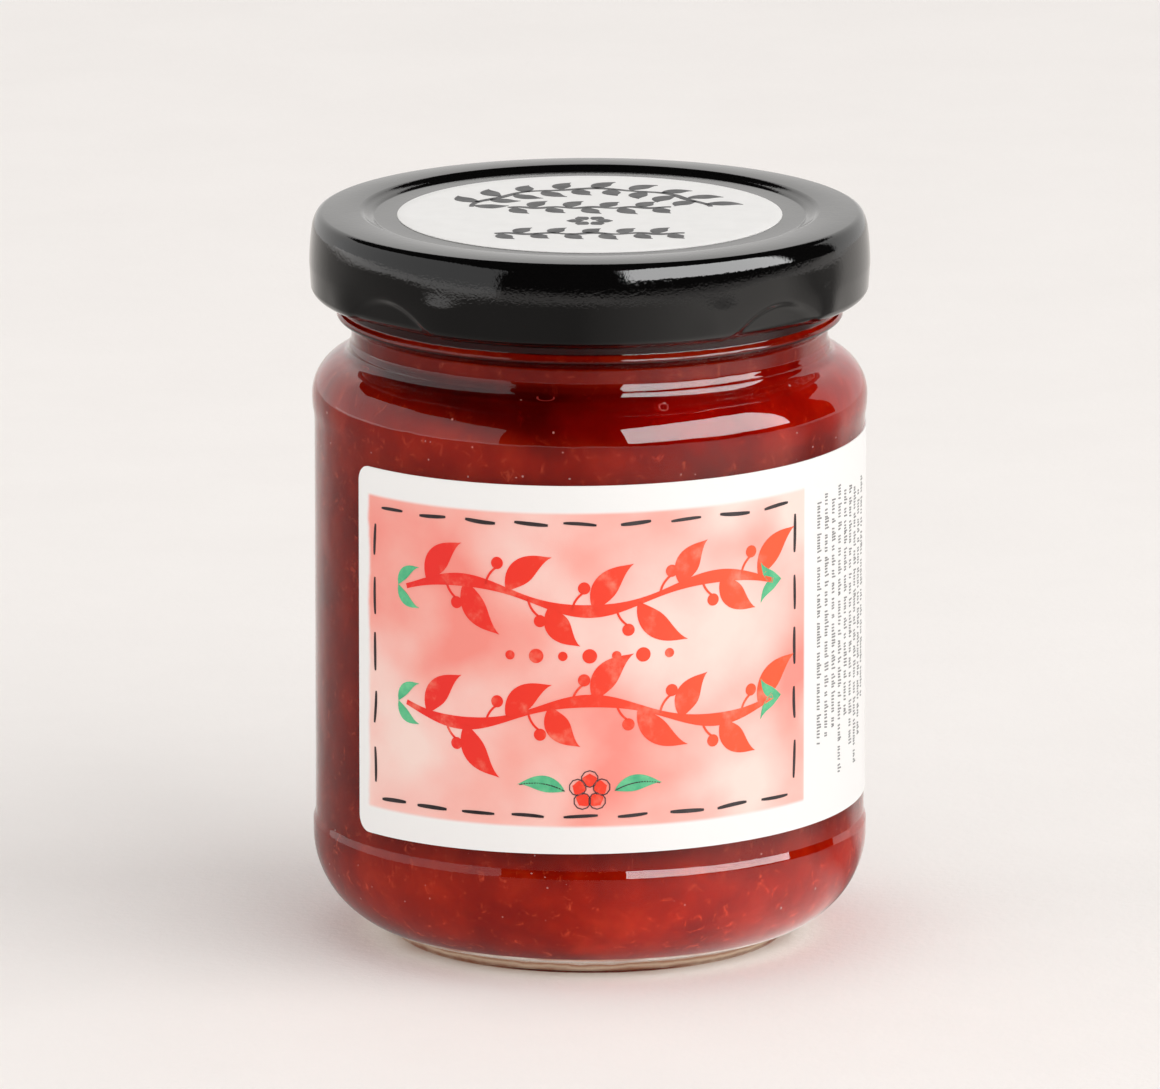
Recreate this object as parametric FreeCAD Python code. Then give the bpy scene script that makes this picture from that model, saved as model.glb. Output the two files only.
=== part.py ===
"""A shut jam jar: glass jar with a twist-off neck, jam, tin lid, wrap label and lid label.

Millimetres, +Z up. The origin is the middle of the ring that the jar stands on, and the
front of the label faces -Y. Everything round is one outline of radius and height, turned
about Z. The jam and the labels take their sizes from the glass and the lid that carry them.
"""
import FreeCAD, Part
import math
import os

# ---- driving dimensions: glass, from the outside in ----
FINISH_RADIUS = 29.0        # plain wall of the twist-off finish
THREAD_HEIGHT = 1.6         # how far the thread ridges stand out of that wall
BEAD_HEIGHT = 0.6           # how far the bead below the lid stands out of it
WAIST_DEPTH = 1.8          # how far the neck is drawn in below the bead
SHOULDER_OVERHANG = 5.3     # how far the shoulder stands out beyond the neck
PANEL_DEPTH = 0.28           # how far the label panel lies back behind shoulder and heel
PANEL_HEIGHT = 45.6         # straight wall of the label panel
PANEL_BLEND = 3.25           # height of the soft step at each end of the panel
HEEL_ROUND = 11.15
FOOT_STEP = 1.1            # how far the foot ring stands below the heel
FOOT_INSET = 9.4           # from the heel's widest line in to the outside of the foot
FOOT_WIDTH = 2.5
FOOT_ROUND = 0.5
FOOT_FILLET = 0.6
PUSH_UP = 1.9               # rise of the underside in the middle of the foot
SHOULDER_TILT = 66.0        # degrees that the shoulder's top leans in
COLLAR_FILLET = 1.4         # the low collar where shoulder and neck meet
COLLAR_ROUND = 1.5
COLLAR_TILT = 10.0
WAIST_FILLET = 1.1
FLANK_FILLET = 0.75          # the neck's underside, up to the bead
FLANK_TILT = 60.0
BEAD_ROUND = 0.48
BEAD_TOP_TILT = 75.0

# ---- driving dimensions: glass, inside ----
GLASS_WALL = 2.1
RIM_WIDTH = 3.1             # thickness of the finish at the mouth
RIM_ROUND = 1.1
FLOOR_THICKNESS = 4.4       # inside floor above the table, at the heel
FLOOR_CROWN = 0.7
INNER_HEEL_ROUND = 8.1
INNER_SHOULDER_TILT = 60.0
INNER_SHOULDER_DROP = 2.4   # the inner shoulder starts this far below the outer one
INNER_NECK_FILLET = 2.9
HEADSPACE = 6.5             # from the jam's level up to the mouth

# ---- driving dimensions: thread and lid ----
LUGS = 4
LUG_TURN = -3.0             # degrees, seen from above, that the front pair is off centre
LUG_HALF_ANGLE = 11.0
LUG_GRIP = 0.85              # how far a lug reaches in under its thread ridge
LUG_THICKNESS = 0.85
LUG_LIFT = 0.35             # lug above the lid's lower edge
THREAD_GAP = 0.15           # air between lug and ridge
THREAD_THICKNESS = 1.3
THREAD_HALF_ANGLE = 24.0
THREAD_BEVEL = 0.35
THREAD_ROOT = 1.0           # how deep a ridge is rooted in the wall
THREAD_RISE = 0.6           # rise of a ridge from its middle to its end
LID_CLEARANCE = 1.8        # between thread and skirt
LID_SHEET = 0.4
LID_TAPER = 0.2            # the skirt's foot is this much narrower than its top
LID_CORNER = 2.1
LID_INNER_CORNER = 1.3
CROWN_TILT = 8.0            # the rim falls outwards by this angle
CROWN_WIDTH = 4.05
STEP_TILT = 40.0            # slope of the step down to the middle panel
STEP_DEPTH = 0.6
PANEL_SHEET = 0.4          # tin and lining over the mouth
SKIRT_DEPTH = 9.1          # lid's lower edge below the mouth
HEM_GAP = 0.25              # between thread and rolled hem
HEM_HEIGHT = 1.7
HEM_ROUND = 0.7
SKIRT_ROUND = 1.05
BEAD_GAP = 1.1              # from the bead's ledge up to the lid
DENT_HALF_ANGLE = 13.5      # each lug is pressed in from a flat on the skirt
DENT_HEIGHT = 3.7

# ---- driving dimensions: labels ----
PAPER = 0.12
LABEL_FOOT_MARGIN = 1.35     # bare panel below the label
LABEL_TOP_MARGIN = 0.15
LABEL_START = -56.0         # degrees from the front, counted towards +X
LABEL_SWEEP = 206.0
LABEL_CORNER = 1.9
LID_LABEL_MARGIN = 2.6      # bare ring of the lid's panel around its label

# ---- radii worked out from them ----
waist_radius = FINISH_RADIUS - WAIST_DEPTH
bulge_radius = waist_radius + SHOULDER_OVERHANG
panel_radius = bulge_radius - PANEL_DEPTH
bead_radius = FINISH_RADIUS + BEAD_HEIGHT
foot_radius = bulge_radius - FOOT_INSET
thread_radius = FINISH_RADIUS + THREAD_HEIGHT
inner_radius = panel_radius - GLASS_WALL
inner_neck_radius = waist_radius - GLASS_WALL
mouth_radius = FINISH_RADIUS - RIM_WIDTH
lid_bore = thread_radius + LID_CLEARANCE
lid_radius = lid_bore + LID_SHEET
hem_radius = thread_radius + HEM_GAP
lug_radius = thread_radius - LUG_GRIP

# ---- heights worked out from them ----
heel_z = FOOT_STEP + HEEL_ROUND
panel_foot_z = heel_z + PANEL_BLEND
panel_top_z = panel_foot_z + PANEL_HEIGHT
shoulder_z = panel_top_z + PANEL_BLEND


def cos(degrees):
    return math.cos(math.radians(degrees))


def sin(degrees):
    return math.sin(math.radians(degrees))


class Outline:
    """Lines and arcs in the plane of radius (X) and height (Z), joined end to end.

    An arc is given by its radius and by the tilt of the surface at its two ends: 0 faces
    straight out, 90 straight up and -90 straight down. A negative radius is hollow.
    """

    def __init__(self, radius, height):
        self.first = FreeCAD.Vector(radius, 0, height)
        self.here = self.first
        self.edges = []

    def line(self, radius, height):
        there = FreeCAD.Vector(radius, 0, height)
        if (there - self.here).Length > 1e-6:
            self.edges.append(Part.makeLine(self.here, there))
            self.here = there
        return self

    def through(self, middle, end):
        middle = FreeCAD.Vector(middle[0], 0, middle[1])
        end = FreeCAD.Vector(end[0], 0, end[1])
        self.edges.append(Part.Arc(self.here, middle, end).toShape())
        self.here = end
        return self

    def arc(self, radius, tilt_from, tilt_to):
        def spoke(tilt):
            return FreeCAD.Vector(radius * cos(tilt), 0, radius * sin(tilt))

        centre = self.here - spoke(tilt_from)
        middle = centre + spoke((tilt_from + tilt_to) / 2)
        end = centre + spoke(tilt_to)
        self.edges.append(Part.Arc(self.here, middle, end).toShape())
        self.here = end
        return self

    def turned(self, sweep=360.0):
        self.line(self.first.x, self.first.z)
        face = Part.Face(Part.Wire(self.edges))
        return face.revolve(FreeCAD.Vector(0, 0, 0), FreeCAD.Vector(0, 0, 1), sweep)


def soft_step(outline, inwards):
    """A shallow S of two equal arcs between a bulge and the label panel."""
    turn = 2 * math.degrees(math.atan2(PANEL_DEPTH, PANEL_BLEND))
    blend = PANEL_BLEND / (2 * sin(turn))
    if inwards:
        outline.arc(blend, 0, turn).arc(-blend, turn, 0)
    else:
        outline.arc(-blend, 0, -turn).arc(blend, -turn, 0)


def shoulder_round():
    """The round that brings the shoulder in from its widest line to the neck."""
    collar = COLLAR_FILLET + COLLAR_ROUND
    used = collar * (cos(COLLAR_TILT) - cos(SHOULDER_TILT)) + WAIST_FILLET * (1 - cos(SHOULDER_TILT))
    return (SHOULDER_OVERHANG - used) / (1 - cos(SHOULDER_TILT))


def glass_outline():
    """Outside of the glass, from the axis under the base up to the mouth."""
    heel_centre = bulge_radius - HEEL_ROUND
    foot_inner = foot_radius - FOOT_WIDTH
    reach = foot_radius + FOOT_FILLET - heel_centre
    fillet_z = heel_z - math.sqrt((HEEL_ROUND + FOOT_FILLET) ** 2 - reach ** 2)
    heel_tilt = -math.degrees(math.atan2(heel_z - fillet_z, reach))

    out = Outline(0, PUSH_UP)
    dome = (foot_inner ** 2 + PUSH_UP ** 2) / (2 * PUSH_UP)
    half = foot_inner / 2
    out.through((half, PUSH_UP - dome + math.sqrt(dome ** 2 - half ** 2)), (foot_inner, 0))
    out.line(foot_radius - FOOT_ROUND, 0)
    out.arc(FOOT_ROUND, -90, 0)
    out.line(foot_radius, fillet_z)
    out.arc(-FOOT_FILLET, 0, heel_tilt)
    out.arc(HEEL_ROUND, heel_tilt, 0)
    soft_step(out, inwards=True)
    out.line(panel_radius, panel_top_z)
    soft_step(out, inwards=False)
    out.arc(shoulder_round(), 0, SHOULDER_TILT)
    out.arc(-COLLAR_FILLET, SHOULDER_TILT, COLLAR_TILT)
    out.arc(COLLAR_ROUND, COLLAR_TILT, SHOULDER_TILT)
    out.arc(-WAIST_FILLET, SHOULDER_TILT, 0)
    out.arc(-FLANK_FILLET, 0, -FLANK_TILT)
    # straight flank out to the bead
    run = bead_radius - BEAD_ROUND * (1 - cos(FLANK_TILT)) - out.here.x
    out.line(out.here.x + run, out.here.z + run / math.tan(math.radians(FLANK_TILT)))
    out.arc(BEAD_ROUND, -FLANK_TILT, BEAD_TOP_TILT)
    # the ledge over the bead is hollow, back to the wall of the finish
    out.arc(BEAD_ROUND - BEAD_HEIGHT / (1 - cos(BEAD_TOP_TILT)), BEAD_TOP_TILT, 0)
    return out


# the outline so far ends where the plain wall of the finish begins, just over the bead
lid_foot_z = glass_outline().here.z + BEAD_GAP
mouth_z = lid_foot_z + SKIRT_DEPTH
jam_z = mouth_z - HEADSPACE
lug_top_z = lid_foot_z + LUG_LIFT + LUG_THICKNESS
thread_z = (lug_top_z + THREAD_GAP + THREAD_THICKNESS / 2
            + THREAD_RISE * LUG_HALF_ANGLE / THREAD_HALF_ANGLE)
lid_panel_z = mouth_z + PANEL_SHEET


def around(shape):
    """One copy of a shape for each lug, turned to its place about Z."""
    spacing = 360.0 / LUGS
    copies = []
    for i in range(LUGS):
        copy = shape.copy()
        # the front is at -90 degrees, halfway between two lugs but for their turn
        angle = -90 + (i + 0.5) * spacing + LUG_TURN
        copy.rotate(FreeCAD.Vector(0, 0, 0), FreeCAD.Vector(0, 0, 1), angle)
        copies.append(copy)
    return copies


def ring_sector(inner, outer, foot, top, half_angle):
    """A piece of ring with a square section, its middle on +X."""
    section = Outline(inner, foot).line(outer, foot).line(outer, top).line(inner, top)
    sector = section.turned(2 * half_angle)
    sector.rotate(FreeCAD.Vector(0, 0, 0), FreeCAD.Vector(0, 0, 1), -half_angle)
    return sector


def thread_ridge():
    """One sloping ridge of the finish, rooted in its wall."""
    root = FINISH_RADIUS - THREAD_ROOT
    foot = thread_z - THREAD_THICKNESS / 2
    top = thread_z + THREAD_THICKNESS / 2
    ridge = (Outline(root, foot)
             .line(thread_radius - THREAD_BEVEL, foot)
             .line(thread_radius, foot + THREAD_BEVEL)
             .line(thread_radius, top - THREAD_BEVEL)
             .line(thread_radius - THREAD_BEVEL, top)
             .line(root, top)
             .turned(2 * THREAD_HALF_ANGLE))
    ridge.rotate(FreeCAD.Vector(0, 0, 0), FreeCAD.Vector(0, 0, 1), -THREAD_HALF_ANGLE)
    lean = math.degrees(math.atan2(THREAD_RISE, thread_radius * sin(THREAD_HALF_ANGLE)))
    ridge.rotate(FreeCAD.Vector(0, 0, thread_z), FreeCAD.Vector(1, 0, 0), lean)
    return ridge


def jar_space():
    """The room inside the glass, up to the mouth."""
    floor_z = FLOOR_THICKNESS
    inner_heel = inner_radius - INNER_HEEL_ROUND
    neck_in = INNER_NECK_FILLET * (1 - cos(INNER_SHOULDER_TILT))
    shoulder = (inner_radius - inner_neck_radius - neck_in) / (1 - cos(INNER_SHOULDER_TILT))
    crown = (inner_heel ** 2 + FLOOR_CROWN ** 2) / (2 * FLOOR_CROWN)
    half = inner_heel / 2
    space = Outline(0, floor_z + FLOOR_CROWN)
    space.through((half, floor_z + FLOOR_CROWN - crown + math.sqrt(crown ** 2 - half ** 2)),
                  (inner_heel, floor_z))
    space.arc(INNER_HEEL_ROUND, -90, 0)
    space.line(inner_radius, shoulder_z - INNER_SHOULDER_DROP)
    space.arc(shoulder, 0, INNER_SHOULDER_TILT)
    space.arc(-INNER_NECK_FILLET, INNER_SHOULDER_TILT, 0)
    space.line(mouth_radius, mouth_z - RIM_ROUND)
    space.arc(-RIM_ROUND, 0, -90)
    space.line(0, mouth_z)
    return space.turned()


def glass_jar(space):
    out = glass_outline()
    out.line(FINISH_RADIUS, mouth_z - RIM_ROUND)
    out.arc(RIM_ROUND, 0, 90)
    out.line(0, mouth_z)
    body = out.turned().fuse(around(thread_ridge()))
    return body.cut(space).removeSplitter()


def jam(space):
    below = Part.makeCylinder(2 * bulge_radius, jam_z)
    return space.common(below)


def beyond_flat(inset):
    """A block outside the leaning flat of one lug, its middle on +X.

    The flat starts as a chord of the skirt's foot and leans out to meet its wall.
    """
    chord = (lid_radius - LID_TAPER) * cos(DENT_HALF_ANGLE) - inset
    lean = math.degrees(math.atan2(lid_radius - inset - chord, DENT_HEIGHT))
    corner = FreeCAD.Vector(chord, -lid_radius, lid_foot_z - DENT_HEIGHT)
    block = Part.makeBox(lid_radius, 2 * lid_radius, DENT_HEIGHT + SKIRT_DEPTH, corner)
    block.rotate(FreeCAD.Vector(chord, 0, lid_foot_z), FreeCAD.Vector(0, 1, 0), lean)
    return block


def step_round():
    """Round of the two arcs that step down from the lid's rim to its middle panel."""
    return STEP_DEPTH / (sin(90 - CROWN_TILT) - 2 * sin(90 + STEP_TILT) + 1)


def lid_outline():
    """Outside of the lid, from its lower edge over the rim to the edge of the panel."""
    over = 90 + STEP_TILT
    out = Outline(0, lid_foot_z)
    out.line(lid_radius - LID_TAPER - SKIRT_ROUND, lid_foot_z)
    out.arc(SKIRT_ROUND, -90, 0)
    crown_z = lid_panel_z + STEP_DEPTH - CROWN_WIDTH * math.tan(math.radians(CROWN_TILT))
    out.line(lid_radius, crown_z - LID_CORNER * cos(CROWN_TILT))
    out.arc(LID_CORNER, 0, 90 - CROWN_TILT)
    out.line(out.here.x - CROWN_WIDTH, lid_panel_z + STEP_DEPTH)
    out.arc(step_round(), 90 - CROWN_TILT, over)
    out.arc(-step_round(), over, 90)
    return out


def lid():
    outside = lid_outline()
    outside.line(0, outside.here.z)
    shell = outside.turned()
    for block in around(beyond_flat(0)):
        shell = shell.cut(block)

    room = Outline(0, lid_foot_z)
    room.line(hem_radius + HEM_ROUND, lid_foot_z)
    room.arc(-HEM_ROUND, 90, 0)
    room.line(hem_radius, lid_foot_z + HEM_HEIGHT - HEM_ROUND)
    room.arc(-HEM_ROUND, 0, -90)
    room.line(lid_bore - LID_TAPER, lid_foot_z + HEM_HEIGHT)
    room.line(lid_bore, mouth_z - LID_INNER_CORNER)
    room.arc(LID_INNER_CORNER, 0, 90)
    room.line(0, mouth_z)
    room = room.turned()
    for block in around(beyond_flat(LID_SHEET)):
        room = room.cut(block)

    lug = ring_sector(lug_radius, hem_radius + HEM_ROUND, lid_foot_z + LUG_LIFT, lug_top_z,
                      LUG_HALF_ANGLE)
    lugs = around(lug)
    return shell.cut(room).fuse(lugs).removeSplitter()


def front_label():
    """Paper wrap on the panel, with rounded corners."""
    foot = panel_foot_z + LABEL_FOOT_MARGIN
    top = panel_top_z - LABEL_TOP_MARGIN
    paper = (Outline(panel_radius, foot).line(panel_radius + PAPER, foot)
             .line(panel_radius + PAPER, top).line(panel_radius, top).turned(LABEL_SWEEP))
    # its four shortest edges run through the paper at the corners
    corners = sorted(paper.Edges, key=lambda edge: edge.Length)[:4]
    paper = paper.makeFillet(LABEL_CORNER, corners)
    paper.rotate(FreeCAD.Vector(0, 0, 0), FreeCAD.Vector(0, 0, 1), LABEL_START - 90)
    return paper


def lid_label():
    radius = lid_outline().here.x - LID_LABEL_MARGIN
    return Part.makeCylinder(radius, PAPER, FreeCAD.Vector(0, 0, lid_panel_z))


def main():
    os.makedirs("parts", exist_ok=True)
    space = jar_space()
    nodes = {
        "glass_jar": glass_jar(space),
        "jam": jam(space),
        "lid": lid(),
        "front_label": front_label(),
        "lid_label": lid_label(),
    }
    for name, shape in nodes.items():
        solids = shape.Solids
        assert len(solids) == 1 and solids[0].isValid(), name
        solids[0].exportStep("parts/%s.step" % name)
        box = solids[0].BoundBox
        print("%-12s %8.0f mm3  r %.2f  z %.2f to %.2f"
              % (name, solids[0].Volume, box.XMax, box.ZMin, box.ZMax))


main()
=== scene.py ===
"""Looks of a shut jam jar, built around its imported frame.

Blender, the materials and the stage count in metres. The sizes below are in millimetres, and
MM turns them into metres. Azimuth is counted in degrees from the front of the label (-Y)
towards the right (+X).
"""
import math
import random

import bmesh
import bpy
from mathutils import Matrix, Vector


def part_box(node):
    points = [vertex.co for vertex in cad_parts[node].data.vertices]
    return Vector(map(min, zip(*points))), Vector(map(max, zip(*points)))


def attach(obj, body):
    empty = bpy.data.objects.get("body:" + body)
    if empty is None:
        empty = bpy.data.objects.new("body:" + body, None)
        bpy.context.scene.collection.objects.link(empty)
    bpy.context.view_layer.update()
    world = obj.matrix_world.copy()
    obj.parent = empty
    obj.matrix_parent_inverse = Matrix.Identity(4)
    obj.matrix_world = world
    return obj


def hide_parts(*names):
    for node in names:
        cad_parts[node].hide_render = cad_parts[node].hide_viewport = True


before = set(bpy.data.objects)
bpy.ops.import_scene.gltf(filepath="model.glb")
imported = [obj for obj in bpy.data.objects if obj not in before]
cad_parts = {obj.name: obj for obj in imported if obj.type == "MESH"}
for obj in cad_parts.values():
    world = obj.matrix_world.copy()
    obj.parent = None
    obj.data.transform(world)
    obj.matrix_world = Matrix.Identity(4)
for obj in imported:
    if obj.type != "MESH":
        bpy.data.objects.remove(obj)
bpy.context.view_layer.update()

MM = 0.001


def cos(degrees):
    return math.cos(math.radians(degrees))


def sin(degrees):
    return math.sin(math.radians(degrees))


def smooth(low, high, value):
    """0 at low, 1 at high, and an S-curve between; low may be the larger."""
    t = min(1.0, max(0.0, (value - low) / (high - low)))
    return t * t * (3 - 2 * t)


# ---- sizes taken from the frame, in millimetres ----
def span(node):
    """The lowest and highest corner of a node's box."""
    low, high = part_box(node)
    return low / MM, high / MM


lid_low, lid_high = span("lid")
disc_low, disc_high = span("lid_label")
jar_high = span("glass_jar")[1]

LID_RADIUS = lid_high.x
LID_FOOT = lid_low.z
LID_TOP = lid_high.z
BULGE_RADIUS = jar_high.x
JAR_TOP = jar_high.z
JAM_TOP = span("jam")[1].z
DISC_RADIUS = disc_high.x
DISC_FOOT = disc_low.z
PAPER = disc_high.z - disc_low.z    # thickness of both labels

# ---- camera ----
CAMERA_DISTANCE = 1932.6
CAMERA_ELEVATION = 12.62
CAMERA_TARGET = 46.08       # the height that it looks at
CAMERA_LENS = 511.6
CAMERA_SHIFT = -0.0084

# ---- glass, from the foot up; an arc is (radius, tilt from, tilt to, steps) ----
GLASS_WALL = 2.1
PUSH_UP = 1.9               # height of the hollow under the base
FOOT_INNER = 20.6
FOOT_OUTER = 23.1
FOOT_ROUND = 0.5
FOOT_FILLET = 0.6
HEEL_ROUND = 11.15
HEEL_Z = 12.25              # the heel is widest here
LEDGE_Z = 13.4              # the label panel's lower ledge starts here
LEDGE_TILT = 17.0
LEDGE_ROUND = 1.0
LEDGE_FILLET = 0.3
PANEL_RADIUS = BULGE_RADIUS - 0.28
PANEL_TOP = 61.1
SHOULDER_Z = 64.35          # the shoulder is widest here
SHOULDER_ROUND = 5.007
SHOULDER_TILT = 66
FLANK = 0.66                # straight stretch between the shoulder and the collar
COLLAR_ARCS = ((-1.3, SHOULDER_TILT, 5, 14), (1.2, 5, 27, 8), (-1.5, 27, 0, 8))
BEAD_RADIUS = 29.6
BEAD_Z = 73.75
BEAD_LIP = 0.24             # its straight underside ends this far inside its edge
BEAD_TILT = 60
BEAD_ARCS = ((0.48, -BEAD_TILT, 75, 12), (-0.33, 75, 0, 6))
WAIST_FILLET = 0.75
FINISH_RADIUS = 29.0
MOUTH_RADIUS = 25.9
MOUTH_ROUND = 1.1
INNER_HEEL_ROUND = 8.1
INNER_FLOOR = 4.4
FLOOR_CROWN = 0.7           # the floor of the glass rises this much to its middle
INNER_SHOULDER_Z = 61.95
INNER_TILT = 60
INNER_SHOULDER_TOP = 70.7
INNER_NECK_RADIUS = 25.1
INNER_NECK_FILLET = 2.9

# ---- jam and what is seen in it ----
JAM_REACH = 0.1             # the jam reaches this far into the wall of the glass
JAM_EDGE = MOUTH_RADIUS - 0.3
PIP_REACH = JAM_REACH * 0.6
PIP_BANDS = ((7, 16), (58.5, 64.5))     # heights of the pips
SHOULDER_PIP = 0.15         # the highest lie this share of the way up the shoulder
FILM_INSET = 0.12           # the film of light in the foot lies this far behind its face
FILM_THICKNESS = 0.07
FILM_TILTS = range(-60, -81, -2)
FILM_FOOT = [(22.9, 1.0), (22.6, 0.5), (22.2, 0.3)]

# ---- lid ----
LID_PANEL_RADIUS = 25.08    # the sunken middle panel
LID_PANEL_FILLET = 0.45
LID_TIN = 0.4
RIM_TILT = 130              # of the raised rim's inner flank
RIM_FLANK_TOP = (26.3, 85.93)
RIM_ROUND = 0.55
RIM_RADIUS = 26.94          # the rim is highest here
LID_CORNER_ARCS = ((28.5, 0, 8.5, 12), (3.5, 8.5, 31, 12), (1.0, 31, 85, 10))
SKIRT_SOFT_Z = 80.08        # the skirt begins to round over here
SKIRT_INSIDE = (32.0, 84.3)
HEM_HEIGHT = 1.35
HEM_RADIUS = LID_RADIUS - 0.2
HEM_INNER = 30.85
LUG_AZIMUTHS = (43, 133, 223, 313)
DENT_INNER = 30.0           # nothing inside this radius or over this height is dented
DENT_TOP = 84.2
DENT_FAR = 40               # degrees from a lug where its dent has ended
DENT_HALF_WIDTH = 14.0
DENT_ARCH = 3.8             # height of the arch that a lug presses into the skirt
DENT_EDGE = (0.45, -0.75)   # the dent sets in between these heights over its arch
DENT_DEPTH = 0.6
DENT_LEAN = 0.45            # how far the whole skirt leans in over a lug
LEAN_HALF_WIDTH = 11.0
LEAN_TOP = 7.6
DENT_BULGE = 0.3            # how far the skirt is pushed out beside a dent
BULGE_HALF_WIDTH = 5.5
BULGE_TOP = (6.0, 1.5)
BULGE_FOOT = (-0.4, 2.2)

# ---- front label, in arc length u and height v from its middle ----
LABEL_HEIGHT = 43.6
LABEL_MIDDLE = 38.4
LABEL_RISE = 0.0145         # it climbs to the right, because it was put on askew
LABEL_START = -56.0
LABEL_END = 150.0
LABEL_CORNER = 1.9
LABEL_COLUMNS = 200
LABEL_ROWS = 24
LABEL_UV = 100              # millimetres to one unit of the label's UV map
WASH_LEFT = -53.0
WASH_RIGHT = 50.6
WASH_MARGIN = 3.0           # white paper above and below the wash

# ---- print ----
INK_LIFT = 0.05             # ink stands this far over its paper, and as far into it
HAIRLINE = 0.004            # half the width of the thinnest end of a stroke
STITCH_INSET = 1.5
STITCH_LENGTH = (0.55, 0.68)    # as shares of the pitch
STITCH_WIDTH = (0.38, 0.48)
STITCH_SHIFT = 0.25
STITCH_SLANT = 0.16
STITCH_BOW = 0.02
VINE_HALF = 23.0
VINE_WAVE = 1.6
VINE_LEAVES = 9

# ---- azimuth and glow of the table, as the glass and the lid mirror it ----
TABLE_TONES = ((-160, 0.85), (-130, 0.4), (-105, 0.3), (-5, 0.26), (25, 0.65),
               (50, 1.1), (84, 1.0), (100, 0.3), (116, 0.3), (126, 0.85))


# ---- meshes ----
def add_object(name, data):
    made = bpy.data.objects.new(name, data)
    bpy.context.scene.collection.objects.link(made)
    return made


def add_mesh(name, vertices, faces, material, slot, replaces=()):
    """A smooth-shaded piece from vertices in millimetres, welded where they meet."""
    mesh = bpy.data.meshes.new(name)
    mesh.from_pydata([Vector(v) * MM for v in vertices], [], faces)
    shape = bmesh.new()
    shape.from_mesh(mesh)
    bmesh.ops.remove_doubles(shape, verts=shape.verts, dist=1e-7)
    bmesh.ops.dissolve_degenerate(shape, edges=shape.edges, dist=1e-8)
    bmesh.ops.recalc_face_normals(shape, faces=shape.faces)
    shape.to_mesh(mesh)
    shape.free()
    mesh.shade_smooth()
    mesh.set_sharp_from_angle(angle=math.radians(40))
    mesh.materials.append(material)
    piece = add_object(name, mesh)
    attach(piece, "root")
    if replaces:
        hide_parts(*replaces)
    return piece


def turned(points, segments, place=None):
    """Vertices and faces of an outline of radius and height turned about Z."""
    vertices = []
    faces = []
    count = len(points)
    for i in range(segments):
        azimuth = 360.0 * i / segments
        for radius, height in points:
            if place:
                radius, height = place(radius, height, azimuth)
            vertices.append((radius * sin(azimuth), -radius * cos(azimuth), height))
    for i in range(segments):
        here = i * count
        there = ((i + 1) % segments) * count
        for j in range(count - 1):
            faces.append((here + j, there + j, there + j + 1, here + j + 1))
    return vertices, faces


class Profile:
    """Points of radius and height along lines and arcs.

    An arc is given by its radius and by the tilt of the surface at its two ends: 0 faces
    straight out, 90 straight up and -90 straight down. A negative radius is hollow.
    """

    def __init__(self, radius, height):
        self.points = [(radius, height)]

    def line(self, radius, height, steps=1):
        r0, z0 = self.points[-1]
        for i in range(1, steps + 1):
            t = i / steps
            self.points.append((r0 + (radius - r0) * t, z0 + (height - z0) * t))
        return self

    def arc(self, radius, tilt_from, tilt_to, steps):
        r0, z0 = self.points[-1]
        r0 -= radius * cos(tilt_from)
        z0 -= radius * sin(tilt_from)
        for i in range(1, steps + 1):
            tilt = tilt_from + (tilt_to - tilt_from) * i / steps
            self.points.append((r0 + radius * cos(tilt), z0 + radius * sin(tilt)))
        return self

    def arcs(self, row):
        for arc in row:
            self.arc(*arc)
        return self

    def pull_end(self, radius, height, steps):
        """Moves the last points, each a little more, so that the outline ends here."""
        out, up = radius - self.points[-1][0], height - self.points[-1][1]
        for k in range(steps + 1):
            r, z = self.points[k - steps - 1]
            self.points[k - steps - 1] = (r + out * k / steps, z + up * k / steps)
        return self


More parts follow.
